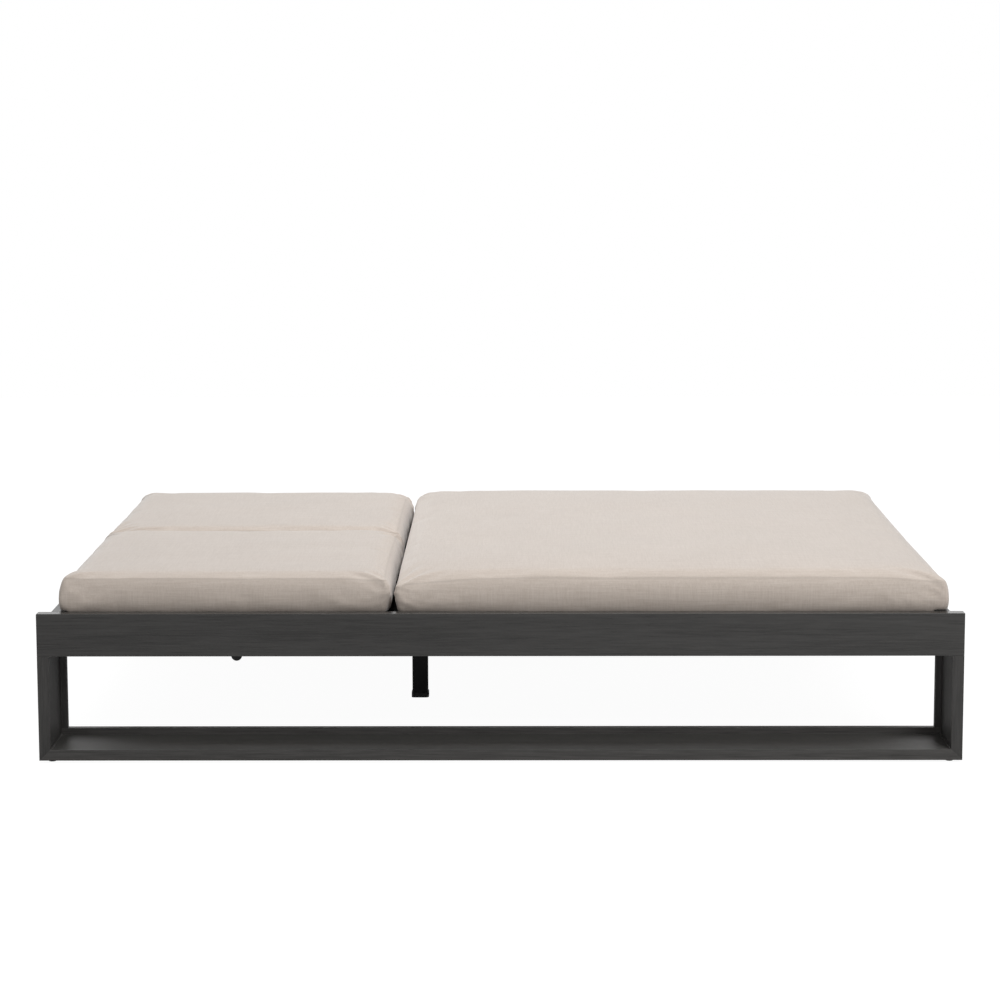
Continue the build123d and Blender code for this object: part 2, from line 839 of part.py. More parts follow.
def back_cushion():
    """The front back's own cushion; its rounded head end stands over the cross rail."""
    reach = rail_inner_y - cushion_side_gap
    return cushion((-cross_inner_x - cushion_head_over, cushion_split_x - cushion_split_half),
                   (cushion_head_edge, cushion_edge), -reach, -cushion_middle_half,
                   back_crown, back_crown_ease)


def main():
    os.makedirs("parts", exist_ok=True)
    sides = (("front", -1), ("rear", 1))
    ends = (("head", -1), ("foot", 1))

    for side_name, side in sides:
        save(side_name + "_top_rail", [on_side(top_rail(), side)])
        save(side_name + "_lower_rail", [on_side(lower_rail(), side)])
        save(side_name + "_seat_ledge", [on_side(seat_ledge(), side)])
        for end_name, end in ends:
            save(side_name + "_" + end_name + "_leg", [on_side(leg(end), side)])
    for end_name, end in ends:
        save(end_name + "_cross_rail", [cross_rail(end)])
    save("corner_plates", [on_side(corner_plate(end), side)
                           for end_name, end in ends for side_name, side in sides])
    save("corner_bolts", [on_side(bolt, side) for end_name, end in ends
                          for side_name, side in sides for bolt in corner_bolts(end)])
    save("foot_glides", foot_glides())

    save("hinge_beam", [hinge_beam()])
    save("hinge_trays", [on_side(hinge_tray(), side) for side_name, side in sides])
    save("seat_centre_beam", [seat_centre_beam()])
    save("back_centre_beam", [back_centre_beam()])
    save("seat_slats", seat_slats())
    save("seat_slat_screws", seat_slat_screws())
    save("centre_leg", [centre_leg()])
    save("centre_leg_plate", [centre_leg_plate()])
    save("centre_leg_screws", centre_leg_screws())
    save("centre_leg_foot", [centre_leg_foot()])
    save("head_rest_ledge", [head_rest_ledge()])
    save("rest_pads", rest_pads())
    save("hinge_ears", [on_side(ear, side) for side_name, side in sides
                        for ear in hinge_ears()])
    save("hinge_pins", [on_side(pin, side) for side_name, side in sides
                        for pin in hinge_pins()])

    screws = []
    outer_wall = -rail_inner_y
    inner_wall = -centre_beam_wide / 2
    for side_name, side in sides:
        save(side_name + "_outer_rack", [on_side(rack(outer_wall, 1), side)])
        save(side_name + "_inner_rack", [on_side(rack(inner_wall, -1), side)])
        for screw in rack_screws(outer_wall, 1) + rack_screws(inner_wall, -1):
            screws.append(on_side(screw, side))
    save("rack_screws", screws)
    save("seat_cushion", [seat_cushion()])

    for side_name, side in sides:
        back = side_name + "_back_"
        save(back + "stiles", [on_side(stile, side) for stile in back_stiles()])
        save(back + "head_rail", [on_side(back_head_rail(), side)])
        save(back + "hinge_rail", [on_side(back_hinge_rail(), side)])
        save(back + "slats", [on_side(slat, side) for slat in back_slats()])
        save(back + "hinge_lugs", [on_side(lug, side) for lug in hinge_lugs()])
        save(back + "prop_brackets", [on_side(item, side) for item in prop_brackets()])
        save(back + "prop_pins", [on_side(pin, side) for pin in prop_pins()])
        save(back + "cushion", [on_side(back_cushion(), side)])
        prop = side_name + "_prop_"
        save(prop + "arms", [on_side(arm, side) for arm in prop_arms()])
        save(prop + "spreader", [on_side(prop_spreader(), side)])
        save(prop + "foot_bar", [on_side(prop_foot_bar(), side)])
        save(prop + "foot_sleeves", [on_side(item, side) for item in prop_foot_sleeves()])


main()
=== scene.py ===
import bpy
import math
import numpy as np
from mathutils import Matrix, Vector


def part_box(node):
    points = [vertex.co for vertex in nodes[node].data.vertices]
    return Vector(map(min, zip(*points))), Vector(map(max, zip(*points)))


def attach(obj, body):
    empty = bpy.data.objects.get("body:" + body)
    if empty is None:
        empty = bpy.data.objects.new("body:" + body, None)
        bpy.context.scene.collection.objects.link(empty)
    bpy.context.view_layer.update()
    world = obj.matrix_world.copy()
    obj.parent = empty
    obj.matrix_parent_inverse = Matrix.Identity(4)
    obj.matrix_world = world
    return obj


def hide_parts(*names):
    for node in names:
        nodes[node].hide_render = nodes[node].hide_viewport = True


# Double chaise lounger for a patio, in metres: two grey side loops and cross rails, a
# black centre leg, two hinged backs on notched props, and three loose cushions.
# X runs from the head end to the foot end, -Y is the front and +Z is up.
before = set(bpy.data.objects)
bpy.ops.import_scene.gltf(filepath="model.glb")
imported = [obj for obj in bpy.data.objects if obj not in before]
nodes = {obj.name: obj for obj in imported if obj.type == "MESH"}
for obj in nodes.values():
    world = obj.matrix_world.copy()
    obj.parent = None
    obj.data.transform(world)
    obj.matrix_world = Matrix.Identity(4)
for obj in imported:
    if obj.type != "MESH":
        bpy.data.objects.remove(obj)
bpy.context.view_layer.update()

# The camera
# A long lens in front of the front rail, looking slightly down over the cushions, as the
# photograph was taken. The turn, the tip and the roll were fitted to the frame's corners.
camera_place = (0.0396, -6.7969, 1.4471)
camera_lens = 101.83
camera_sensor = 36.0
camera_clip_end = 100.0
camera_turn = math.radians(-0.3681)
camera_tip = math.radians(8.0626)
camera_roll = math.radians(-0.1268)


def camera_matrix(place, turn, tip, roll):
    """Place and direction of the camera. Ahead is +Y turned about Z and tipped down, right
    is level, up is right across ahead, and both are then rolled about ahead."""
    ahead = Vector((math.sin(turn) * math.cos(tip), math.cos(turn) * math.cos(tip),
                    -math.sin(tip)))
    right = Vector((math.cos(turn), -math.sin(turn), 0.0))
    up = right.cross(ahead)
    rolled_right = math.cos(roll) * right + math.sin(roll) * up
    rolled_up = math.cos(roll) * up - math.sin(roll) * right
    axes = Matrix((rolled_right, rolled_up, -ahead)).transposed().to_4x4()
    return Matrix.Translation(place) @ axes


camera_data = bpy.data.cameras.new("photo_camera")
camera_data.lens = camera_lens
camera_data.sensor_width = camera_sensor
camera_data.clip_end = camera_clip_end
camera = bpy.data.objects.new("photo_camera", camera_data)
camera.matrix_world = camera_matrix(camera_place, camera_turn, camera_tip, camera_roll)
bpy.context.scene.collection.objects.link(camera)
bpy.context.scene.camera = camera


# Front and rear loops, cross rails and the grey tubes inside
# Rectangular aluminium tube and plank, welded at mitred corners. The dark grey powder
# coat carries a printed wood grain that runs along each piece, and its edges are rounded.
grain_dark = (0.0185, 0.0175, 0.0165, 1.0)
grain_light = (0.0470, 0.0450, 0.0430, 1.0)
# The legs and the lower planks take lighter copies of the same coat's colours: painted light
# that stands in for the light falling on them.
lit_leg_dark = (0.0205, 0.0195, 0.0185, 1.0)
lit_leg_light = (0.0530, 0.0505, 0.0485, 1.0)
lit_plank_dark = (0.0370, 0.0350, 0.0330, 1.0)
lit_plank_light = (0.0880, 0.0845, 0.0805, 1.0)
plank_dust_and_light = 0.13
dust_and_light_color = (0.40, 0.39, 0.37, 1.0)
rubbed_color = (0.16, 0.155, 0.15, 1.0)
rubbed_width = 0.0015
rubbed_amount = 0.3
grain_along = 11.0
grain_across = 260.0
grain_on_x = (grain_along, grain_across, grain_across)
grain_on_y = (grain_across, grain_along, grain_across)
grain_on_z = (grain_across, grain_across, grain_along)
grain_strength = 0.35
grain_height = 0.0002
edge_round = 0.0011
edge_angle = math.radians(40)
triangle_weld = 0.00002


def step(tree, kind, values=None, **settings):
    """One shader step put into a tree, with its settings and its unlinked input values."""
    node = tree.nodes.new(kind)
    for name, value in settings.items():
        setattr(node, name, value)
    for name, value in (values or {}).items():
        node.inputs[name].default_value = value
    return node


def join(tree, source, target):
    """A link from one step's output to another step's input."""
    tree.links.new(source, target)


def new_group(name, inputs, outputs):
    """An empty shader group with named inputs and outputs, and its two end steps."""
    tree = bpy.data.node_groups.new(name, "ShaderNodeTree")
    for label, kind, value in inputs:
        socket = tree.interface.new_socket(label, in_out="INPUT", socket_type=kind)
        if value is not None:
            socket.default_value = value
    for label, kind in outputs:
        tree.interface.new_socket(label, in_out="OUTPUT", socket_type=kind)
    return tree, tree.nodes.new("NodeGroupInput"), tree.nodes.new("NodeGroupOutput")


def wood_grain_group():
    """Printed grain: fine noise and broad noise in a stretched space, mixed two to one,
    set the colour between dark and light. The same mix gives roughness and height."""
    tree, start, end = new_group(
        "Printed wood grain",
        [("Vector", "NodeSocketVector", None),
         ("Dark", "NodeSocketColor", grain_dark),
         ("Light", "NodeSocketColor", grain_light),
         ("Roughness", "NodeSocketFloat", 0.5)],
        [("Color", "NodeSocketColor"), ("Roughness", "NodeSocketFloat"),
         ("Height", "NodeSocketFloat")])
    fine = step(tree, "ShaderNodeTexNoise",
                {"Scale": 1.0, "Detail": 5.0, "Roughness": 0.62, "Distortion": 0.25})
    broad = step(tree, "ShaderNodeTexNoise",
                 {"Scale": 0.16, "Detail": 3.0, "Roughness": 0.55, "Distortion": 0.6})
    both = step(tree, "ShaderNodeMix", {"Factor": 0.36}, data_type="FLOAT")
    spread = step(tree, "ShaderNodeMapRange",
                  {"From Min": 0.34, "From Max": 0.66, "To Min": 0.0, "To Max": 1.0})
    tone = step(tree, "ShaderNodeMix", data_type="RGBA")
    shine = step(tree, "ShaderNodeMath", {1: 0.12}, operation="MULTIPLY_ADD")
    join(tree, start.outputs["Vector"], fine.inputs["Vector"])
    join(tree, start.outputs["Vector"], broad.inputs["Vector"])
    join(tree, fine.outputs["Fac"], both.inputs[2])
    join(tree, broad.outputs["Fac"], both.inputs[3])
    join(tree, both.outputs[0], spread.inputs["Value"])
    join(tree, spread.outputs["Result"], tone.inputs["Factor"])
    join(tree, start.outputs["Dark"], tone.inputs[6])
    join(tree, start.outputs["Light"], tone.inputs[7])
    join(tree, spread.outputs["Result"], shine.inputs[0])
    join(tree, start.outputs["Roughness"], shine.inputs[2])
    join(tree, tone.outputs[2], end.inputs["Color"])
    join(tree, shine.outputs[0], end.inputs["Roughness"])
    join(tree, spread.outputs["Result"], end.inputs["Height"])
    return tree


def rubbed_edge_group():
    """Rubbed edges: where a rounded normal leans away from the face's own normal there is
    an edge. That lean, broken up by noise, mixes the colour towards the rubbed colour."""
    tree, start, end = new_group(
        "Rubbed edges",
        [("Color", "NodeSocketColor", None),
         ("Rubbed", "NodeSocketColor", rubbed_color),
         ("Width", "NodeSocketFloat", rubbed_width),
         ("Amount", "NodeSocketFloat", rubbed_amount)],
        [("Color", "NodeSocketColor")])
    rounded = step(tree, "ShaderNodeBevel", samples=4)
    surface = step(tree, "ShaderNodeNewGeometry")
    lean = step(tree, "ShaderNodeVectorMath", operation="DOT_PRODUCT")
    edge = step(tree, "ShaderNodeMapRange",
                {"From Min": 0.999, "From Max": 0.86, "To Min": 0.0, "To Max": 1.0})
    place = step(tree, "ShaderNodeTexCoord")
    patches = step(tree, "ShaderNodeTexNoise", {"Scale": 38.0, "Detail": 4.0})
    broken = step(tree, "ShaderNodeMapRange",
                  {"From Min": 0.38, "From Max": 0.68, "To Min": 0.25, "To Max": 1.0})
    worn = step(tree, "ShaderNodeMath", operation="MULTIPLY")
    share = step(tree, "ShaderNodeMath", operation="MULTIPLY")
    tone = step(tree, "ShaderNodeMix", data_type="RGBA")
    join(tree, start.outputs["Width"], rounded.inputs["Radius"])
    join(tree, rounded.outputs["Normal"], lean.inputs[0])
    join(tree, surface.outputs["Normal"], lean.inputs[1])
    join(tree, lean.outputs["Value"], edge.inputs["Value"])
    join(tree, place.outputs["Object"], patches.inputs["Vector"])
    join(tree, patches.outputs["Fac"], broken.inputs["Value"])
    join(tree, edge.outputs["Result"], worn.inputs[0])
    join(tree, broken.outputs["Result"], worn.inputs[1])
    join(tree, worn.outputs[0], share.inputs[0])
    join(tree, start.outputs["Amount"], share.inputs[1])
    join(tree, share.outputs[0], tone.inputs["Factor"])
    join(tree, start.outputs["Color"], tone.inputs[6])
    join(tree, start.outputs["Rubbed"], tone.inputs[7])
    join(tree, tone.outputs[2], end.inputs["Color"])
    return tree


wood_grain = wood_grain_group()
rubbed_edges = rubbed_edge_group()


def new_material(name, roughness, specular):
    """A material with its output, a Principled surface and the object's own place."""
    material = bpy.data.materials.new(name)
    material.use_nodes = True
    tree = material.node_tree
    surface = tree.nodes["Principled BSDF"]
    surface.inputs["Roughness"].default_value = roughness
    surface.inputs["Specular IOR Level"].default_value = specular
    return material, tree, surface, step(tree, "ShaderNodeTexCoord")


def use_group(tree, group, values=None):
    """A shader group placed in a material with its own values."""
    return step(tree, "ShaderNodeGroup", values, node_tree=group)


def bump(tree, height, surface, strength, distance):
    """Height turned into the surface's normal."""
    relief = step(tree, "ShaderNodeBump", {"Strength": strength, "Distance": distance})
    join(tree, height, relief.inputs["Height"])
    join(tree, relief.outputs["Normal"], surface.inputs["Normal"])


def grey_grain_coat(name, scale, roughness=0.30, specular=0.38, dark=grain_dark,
                    light=grain_light, dust_and_light=0.0):
    """Dark grey coat with grain: place is stretched by scale, so the grain runs along the
    axis with the small number. Dust and light is the share of a pale colour on a face that
    looks up, dust with painted light on the tops, and fades to nothing as the face's normal
    turns level."""
    material, tree, surface, place = new_material(name, roughness, specular)
    stretch = step(tree, "ShaderNodeMapping", {"Scale": scale})
    grain = use_group(tree, wood_grain, {"Roughness": roughness, "Dark": dark, "Light": light})
    rub = use_group(tree, rubbed_edges)
    join(tree, place.outputs["Object"], stretch.inputs["Vector"])
    join(tree, stretch.outputs["Vector"], grain.inputs["Vector"])
    join(tree, grain.outputs["Color"], rub.inputs["Color"])
    join(tree, grain.outputs["Roughness"], surface.inputs["Roughness"])
    bump(tree, grain.outputs["Height"], surface, grain_strength, grain_height)
    color = rub.outputs["Color"]
    # A pale colour on faces that look up: dust, and painted light on the tops.
    if dust_and_light > 0:
        upward = step(tree, "ShaderNodeSeparateXYZ")
        settled = step(tree, "ShaderNodeMapRange",
                       {"From Min": 0.3, "From Max": 1.0, "To Min": 0.0, "To Max": dust_and_light})
        dusty = step(tree, "ShaderNodeMix", {7: dust_and_light_color}, data_type="RGBA")
        join(tree, place.outputs["Normal"], upward.inputs["Vector"])
        join(tree, upward.outputs["Z"], settled.inputs["Value"])
        join(tree, settled.outputs["Result"], dusty.inputs["Factor"])
        join(tree, color, dusty.inputs[6])
        color = dusty.outputs[2]
    join(tree, color, surface.inputs["Base Color"])
    return material


def finish_node(name, material):
    """A carried-over CAD node gets its finish."""
    for holder in nodes[name].material_slots:
        holder.material = material


def round_edges(name, width=edge_round):
    """Rounded edges on a carried-over CAD node: its loose triangles are welded, sharp
    edges are bevelled, and the faces keep flat shading by weighted normals."""
    piece = nodes[name]
    weld = piece.modifiers.new("weld", "WELD")
    weld.merge_threshold = triangle_weld
    bevel = piece.modifiers.new("round", "BEVEL")
    bevel.width = width
    bevel.segments = 2
    bevel.limit_method = "ANGLE"
    bevel.angle_limit = edge_angle
    bevel.use_clamp_overlap = True
    shade = piece.modifiers.new("shade", "WEIGHTED_NORMAL")
    shade.weight = 80


coat_along_x = grey_grain_coat("grey_coat_along_x", grain_on_x)
coat_along_y = grey_grain_coat("grey_coat_along_y", grain_on_y)
# Lighter copies of the coat on the legs and the lower planks: painted light.
lit_leg_coat = grey_grain_coat("lit_grey_coat_along_z", grain_on_z, roughness=0.42,
                           dark=lit_leg_dark, light=lit_leg_light)
rail_coat = grey_grain_coat("grey_coat_on_rails", grain_on_x, roughness=0.23, specular=0.42)
lit_plank_coat = grey_grain_coat("lit_grey_coat_on_lower_planks", grain_on_x, roughness=0.44,
                             specular=0.42, dark=lit_plank_dark, light=lit_plank_light,
                             dust_and_light=plank_dust_and_light)
for coat, names in (
        (rail_coat, ("front_top_rail", "rear_top_rail")),
        (lit_plank_coat, ("front_lower_rail", "rear_lower_rail")),
        (lit_leg_coat, ("front_head_leg", "front_foot_leg", "rear_head_leg", "rear_foot_leg")),
        (coat_along_x, ("seat_centre_beam", "back_centre_beam", "front_seat_ledge",
                        "rear_seat_ledge")),
        (coat_along_y, ("head_cross_rail", "foot_cross_rail", "hinge_beam", "seat_slats",
                        "head_rest_ledge"))):
    for name in names:
        finish_node(name, coat)
        round_edges(name)


# Weld beads in the inner corners of the loops
# A small fillet of weld where each leg plank meets the lower plank and the top rail,
# coated with a lighter copy of the frame's colour, a painted highlight that shows it as a thin
# line.
bead_radius = 0.0026
bead_ripple = 0.0004
bead_pitch = 0.0032
bead_step = 0.0011
bead_sides = 12
bead_inset = 0.001
bead_end_power = 24
bead_weld = 0.00001
# Lighter copies of the frame's coat colours: a painted highlight on the beads.
lit_bead_dark = (0.060, 0.058, 0.055, 1.0)
lit_bead_light = (0.130, 0.126, 0.120, 1.0)
bead_grain = (60.0, 60.0, 60.0)
leg_width = 0.0249
lower_plank_thick = 0.0239
lower_bead_reach = 0.158
leg_inner_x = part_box("front_head_leg")[0][0] + leg_width
lower_top_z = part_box("front_lower_rail")[0][2] + lower_plank_thick
rail_under_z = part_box("front_top_rail")[0][2]
loop_face_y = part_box("front_lower_rail")[0][1]
lower_bead_end_y = loop_face_y + lower_bead_reach
rail_back_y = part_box("front_top_rail")[1][1]


def mesh_piece(name, points, quads, material, smooth=True):
    """An object whose mesh is made from whole arrays of points and quads."""
    mesh = bpy.data.meshes.new(name)
    mesh.from_pydata(points.tolist(), [], quads.tolist())
    mesh.materials.append(material)
    mesh.polygons.foreach_set("use_smooth", np.full(len(mesh.polygons), smooth))
    mesh.update()
    piece = bpy.data.objects.new(name, mesh)
    bpy.context.scene.collection.objects.link(piece)
    return piece


def weld_bead(x, z, y_from, y_to):
    """A rippled bead along Y: a circle whose radius is larger by a small cosine of the
    distance along it. It closes at both ends as the root of one less a high power of the
    distance from the middle."""
    length = abs(y_to - y_from)
    rows = int(length / bead_step)
    along = np.linspace(0.0, 1.0, rows)[:, None]
    turn = np.linspace(0.0, 2 * np.pi, bead_sides + 1)[None, :-1]
    from_middle = np.abs(2 * along - 1)
    end_taper = np.sqrt(np.clip(1 - from_middle ** bead_end_power, 0.0, 1.0))
    ripple = bead_ripple * np.cos(2 * np.pi * along * length / bead_pitch)
    radius = (bead_radius + ripple) * end_taper
    points = np.stack([x + radius * np.cos(turn), y_from + (y_to - y_from) * along + 0 * turn,
                       z + radius * np.sin(turn)], axis=2).reshape(-1, 3)
    ring = np.arange(bead_sides)
    start = (np.arange(rows - 1) * bead_sides)[:, None]
    after = start + bead_sides
    following = (ring + 1) % bead_sides
    quads = np.stack([start + ring, after + ring, after + following, start + following],
                     axis=2).reshape(-1, 4)
    if y_to < y_from:
        quads = quads[:, ::-1]
    return points, quads


def gather(shapes):
    """Several arrays of points and quads put into one."""
    counts = np.cumsum([0] + [len(points) for points, quads in shapes[:-1]])
    points = np.concatenate([shape[0] for shape in shapes])
    quads = np.concatenate([shape[1] + count for shape, count in zip(shapes, counts)])
    return points, quads


lit_bead_coat = grey_grain_coat("lit_grey_coat_on_bead", bead_grain, roughness=0.26, specular=0.5,
                            dark=lit_bead_dark, light=lit_bead_light)
for side, facing in (("front", 1), ("rear", -1)):
    bead_start_y = facing * (loop_face_y + bead_inset)
    beads = []
    for x in (leg_inner_x, -leg_inner_x):
        beads.append(weld_bead(x, lower_top_z, bead_start_y, facing * lower_bead_end_y))
        beads.append(weld_bead(x, rail_under_z, bead_start_y, facing * rail_back_y))
    bead_points, bead_quads = gather(beads)
    bead_piece = mesh_piece(side + "_weld_beads", bead_points, bead_quads, lit_bead_coat)
    weld_ends = bead_piece.modifiers.new("close_ends", "WELD")
    weld_ends.merge_threshold = bead_weld
    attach(bead_piece, "base")


# Back frames
# Each back is a light welded frame of grey tube with slats across it. Stiles run along
# the lounger, the head rail, the hinge rail and the slats run across it.
for side in ("front", "rear"):
    for part, coat in (("_back_stiles", coat_along_x), ("_back_head_rail", coat_along_y),
                       ("_back_hinge_rail", coat_along_y), ("_back_slats", coat_along_y)):
        finish_node(side + part, coat)
        round_edges(side + part)


# Centre leg, hinges, racks and props
# Steel plate, tube and rod under a satin black powder coat with a very fine orange peel,
# thinner and paler where edges are handled. Plates and the leg have their edges eased.
black_coat_color = (0.0035, 0.0035, 0.0036, 1.0)
black_cloud_color = (0.008, 0.008, 0.0082, 1.0)
black_rubbed_color = (0.09, 0.088, 0.085, 1.0)
black_rubbed_amount = 0.4
plate_round = 0.0009


def satin_black_coat(name, roughness):
    """Black coat: fine noise gives the orange peel, broad noise a faint cloud of colour."""
    material, tree, surface, place = new_material(name, roughness, specular=0.25)
    peel = step(tree, "ShaderNodeTexNoise", {"Scale": 620.0, "Detail": 2.0})
    cloud = step(tree, "ShaderNodeTexNoise", {"Scale": 22.0, "Detail": 4.0})
    tone = step(tree, "ShaderNodeMix", {6: black_coat_color, 7: black_cloud_color},
                data_type="RGBA")
    shine = step(tree, "ShaderNodeMath", {1: 0.16, 2: roughness - 0.08},
                 operation="MULTIPLY_ADD")
    rub = use_group(tree, rubbed_edges, {"Rubbed": black_rubbed_color,
                                         "Amount": black_rubbed_amount})
    join(tree, place.outputs["Object"], peel.inputs["Vector"])
    join(tree, place.outputs["Object"], cloud.inputs["Vector"])
    join(tree, cloud.outputs["Fac"], tone.inputs["Factor"])
    join(tree, tone.outputs[2], rub.inputs["Color"])
    join(tree, rub.outputs["Color"], surface.inputs["Base Color"])
    join(tree, cloud.outputs["Fac"], shine.inputs[0])
    join(tree, shine.outputs[0], surface.inputs["Roughness"])
    bump(tree, peel.outputs["Fac"], surface, strength=0.3, distance=0.00012)
    return material


black_coat = satin_black_coat("satin_black_coat", roughness=0.42)
# The hinge trays are a black sheet under the split between the cushions, put where there is
# only shade: painted shade.
for name in ("corner_plates", "centre_leg", "centre_leg_plate", "hinge_ears", "hinge_trays",
             "front_outer_rack", "front_inner_rack", "rear_outer_rack", "rear_inner_rack"):
    finish_node(name, black_coat)
for side in ("front", "rear"):
    for part in ("_back_hinge_lugs", "_back_prop_brackets", "_prop_arms",
                 "_back_prop_pins", "_prop_spreader", "_prop_foot_bar"):
        finish_node(side + part, black_coat)
for name in ("centre_leg", "corner_plates", "centre_leg_plate"):
    round_edges(name, plate_round)


# Glides, sleeves and the centre leg's foot
# Injection-moulded black nylon, and rubber for the rest pads, with the dull and slightly
# pebbled skin of the mould. Dust greys it near the ground.
plastic_color = (0.008, 0.008, 0.008, 1.0)
ground_dust_color = (0.07, 0.065, 0.058, 1.0)
ground_dust_height = 0.02


def moulded_plastic(name, roughness, pebble, depth):
    """Black plastic or rubber: cell noise for the mould's pebble, and dust that grows as
    the height above the ground falls from the dust's height to nothing."""
    material, tree, surface, place = new_material(name, roughness, specular=0.4)
    cells = step(tree, "ShaderNodeTexVoronoi", {"Scale": pebble})
    apart = step(tree, "ShaderNodeSeparateXYZ")
    low = step(tree, "ShaderNodeMapRange",
               {"From Min": ground_dust_height, "From Max": 0.0,
                "To Min": 0.0, "To Max": 0.5})
    patches = step(tree, "ShaderNodeTexNoise", {"Scale": 140.0, "Detail": 5.0})
    dusty = step(tree, "ShaderNodeMath", operation="MULTIPLY")
    tone = step(tree, "ShaderNodeMix", {6: plastic_color, 7: ground_dust_color},
                data_type="RGBA")
    join(tree, place.outputs["Object"], cells.inputs["Vector"])
    join(tree, place.outputs["Object"], patches.inputs["Vector"])
    join(tree, place.outputs["Object"], apart.inputs["Vector"])
    join(tree, apart.outputs["Z"], low.inputs["Value"])
    join(tree, low.outputs["Result"], dusty.inputs[0])
    join(tree, patches.outputs["Fac"], dusty.inputs[1])
    join(tree, dusty.outputs[0], tone.inputs["Factor"])
    join(tree, tone.outputs[2], surface.inputs["Base Color"])
    bump(tree, cells.outputs["Distance"], surface, strength=0.25, distance=depth)
    return material


black_nylon = moulded_plastic("black_nylon", roughness=0.5, pebble=900.0, depth=0.0001)
soft_rubber = moulded_plastic("soft_rubber", roughness=0.82, pebble=1500.0, depth=0.00006)
for name in ("foot_glides", "centre_leg_foot", "front_prop_foot_sleeves",
             "rear_prop_foot_sleeves"):
    finish_node(name, black_nylon)
finish_node("rest_pads", soft_rubber)


# Bolts, screws and pins
# Zinc-plated steel: pale, slightly blue, with the small bright and dull crystals of the
# plating and a film of grime in patches.
zinc_light = (0.56, 0.57, 0.58, 1.0)
zinc_dull = (0.33, 0.33, 0.32, 1.0)
zinc, zinc_tree, zinc_surface, zinc_place = new_material("zinc_plate", roughness=0.32,
                                                         specular=0.5)
zinc_surface.inputs["Metallic"].default_value = 1.0
crystals = step(zinc_tree, "ShaderNodeTexVoronoi", {"Scale": 700.0})
grime = step(zinc_tree, "ShaderNodeTexNoise", {"Scale": 90.0, "Detail": 5.0})
plating = step(zinc_tree, "ShaderNodeMix", {6: zinc_light, 7: zinc_dull}, data_type="RGBA")
plating_shine = step(zinc_tree, "ShaderNodeMath", {1: 0.28, 2: 0.2}, operation="MULTIPLY_ADD")
join(zinc_tree, zinc_place.outputs["Object"], crystals.inputs["Vector"])
join(zinc_tree, zinc_place.outputs["Object"], grime.inputs["Vector"])
join(zinc_tree, grime.outputs["Fac"], plating.inputs["Factor"])
join(zinc_tree, plating.outputs[2], zinc_surface.inputs["Base Color"])
join(zinc_tree, grime.outputs["Fac"], plating_shine.inputs[0])
join(zinc_tree, plating_shine.outputs[0], zinc_surface.inputs["Roughness"])
bump(zinc_tree, crystals.outputs["Distance"], zinc_surface, strength=0.15, distance=0.0001)
for name in ("corner_bolts", "seat_slat_screws", "centre_leg_screws", "hinge_pins",
             "rack_screws"):
    finish_node(name, zinc)


# Seat cushion and back cushions
# Boxed foam cushions in a taupe cloth woven from slubby yarn: a top and a bottom panel
# sewn to a side band with a plain seam. The foam crowns the top and fills the band out.
cloth_dark = (0.545, 0.465, 0.402, 1.0)
cloth_light = (0.690, 0.610, 0.545, 1.0)
slub_along = 14.0
slub_across = 300.0
yarn_along = 60.0
yarn_across = 900.0
seam_tone = 0.88
# How dark the painted contact shadow makes the foot of the band where it sits on the frame.
contact_shadow_tone = 0.50


def slub_weave_group():
    """Plain weave of slubby yarn. Three noises, each stretched along one axis, are yarns
    along X, Y and Z. A face shows the two sets that lie in it: each set is weighted by
    one less the square of the normal's part along its own axis, and halved."""
    tree, start, end = new_group(
        "Slubby plain weave",
        [("Vector", "NodeSocketVector", None),
         ("Normal", "NodeSocketVector", None),
         ("Along", "NodeSocketFloat", slub_along),
         ("Across", "NodeSocketFloat", slub_across)],
        [("Yarn", "NodeSocketFloat")])
    square = step(tree, "ShaderNodeVectorMath", operation="MULTIPLY")
    inverse = step(tree, "ShaderNodeVectorMath", {0: (1.0, 1.0, 1.0)}, operation="SUBTRACT")
    weights = step(tree, "ShaderNodeSeparateXYZ")
    join(tree, start.outputs["Normal"], square.inputs[0])
    join(tree, start.outputs["Normal"], square.inputs[1])
    join(tree, square.outputs["Vector"], inverse.inputs[1])
    join(tree, inverse.outputs["Vector"], weights.inputs["Vector"])
    total = None
    for axis in "XYZ":
        stretch = step(tree, "ShaderNodeCombineXYZ")
        for other in "XYZ":
            source = "Along" if other == axis else "Across"
            join(tree, start.outputs[source], stretch.inputs[other])
        scaled = step(tree, "ShaderNodeVectorMath", operation="MULTIPLY")
        yarns = step(tree, "ShaderNodeTexNoise",
                     {"Scale": 1.0, "Detail": 3.0, "Roughness": 0.7, "Distortion": 0.1})
        part = step(tree, "ShaderNodeMath", operation="MULTIPLY")
        join(tree, start.outputs["Vector"], scaled.inputs[0])
        join(tree, stretch.outputs["Vector"], scaled.inputs[1])
        join(tree, scaled.outputs["Vector"], yarns.inputs["Vector"])
        join(tree, yarns.outputs["Fac"], part.inputs[0])
        join(tree, weights.outputs[axis], part.inputs[1])
        if total is None:
            total = part.outputs[0]
        else:
            add = step(tree, "ShaderNodeMath", operation="ADD")
            join(tree, total, add.inputs[0])
            join(tree, part.outputs[0], add.inputs[1])
            total = add.outputs[0]
    level = step(tree, "ShaderNodeMapRange",
                 {"From Min": 0.76, "From Max": 1.24, "To Min": 0.0, "To Max": 1.0})
    join(tree, total, level.inputs["Value"])
    join(tree, level.outputs["Result"], end.inputs["Yarn"])
    return tree


slub_weave = slub_weave_group()


